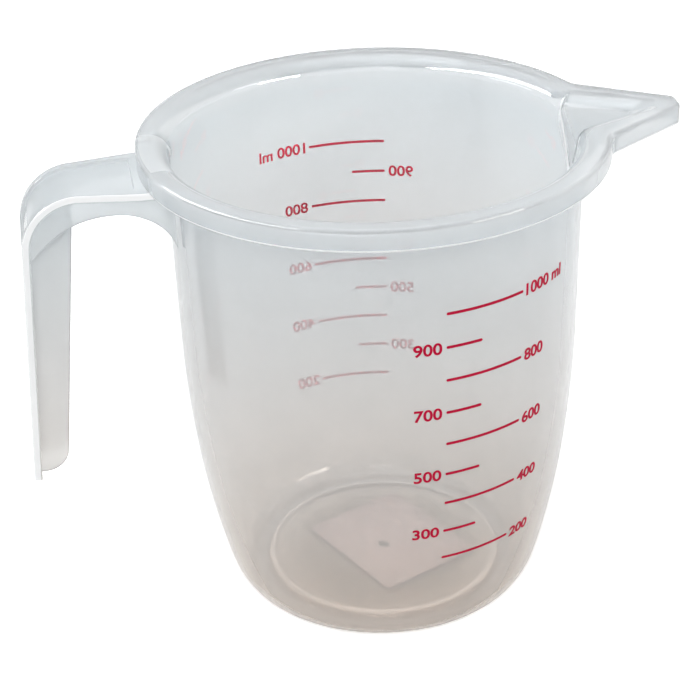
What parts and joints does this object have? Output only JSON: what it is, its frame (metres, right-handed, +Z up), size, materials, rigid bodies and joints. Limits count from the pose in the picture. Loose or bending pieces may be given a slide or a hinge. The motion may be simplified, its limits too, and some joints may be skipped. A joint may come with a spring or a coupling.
{
  "type": "measuring jug",
  "caption": "Round-bottomed translucent plastic measuring jug with a flanged rim, a pointed pouring spout, an open channel handle and printed scales on both sides.",
  "frame": {"origin": "on the axis of the bowl, in the plane of the foot's flat ring that stands on the table", "axes": "+X from the axis to the tip of the spout, with the handle towards -X; +Z up along the axis of the bowl; +Y completes the frame, on the side of the jug that the second scale is on"},
  "size_m": [0.1926, 0.1328, 0.1429],
  "materials": {
    "moulding": "frosted translucent polypropylene",
    "print": "screen-printed ink",
    "paper": "uncoated paper"
  },
  "bodies": {
    "root": {"bowl": "moulding", "rim_flange": "moulding", "pour_spout": "moulding", "handle": "moulding", "front_mark_1000": "print", "front_mark_900": "print", "front_mark_800": "print", "front_mark_700": "print", "front_mark_600": "print", "front_mark_500": "print", "front_mark_400": "print", "front_mark_300": "print", "front_mark_200": "print", "back_mark_1000": "print", "back_mark_900": "print", "back_mark_800": "print", "back_mark_700": "print", "back_mark_600": "print", "back_mark_500": "print", "back_mark_400": "print", "back_mark_300": "print", "back_mark_200": "print", "base_label": "paper"}
  },
  "joints": []
}
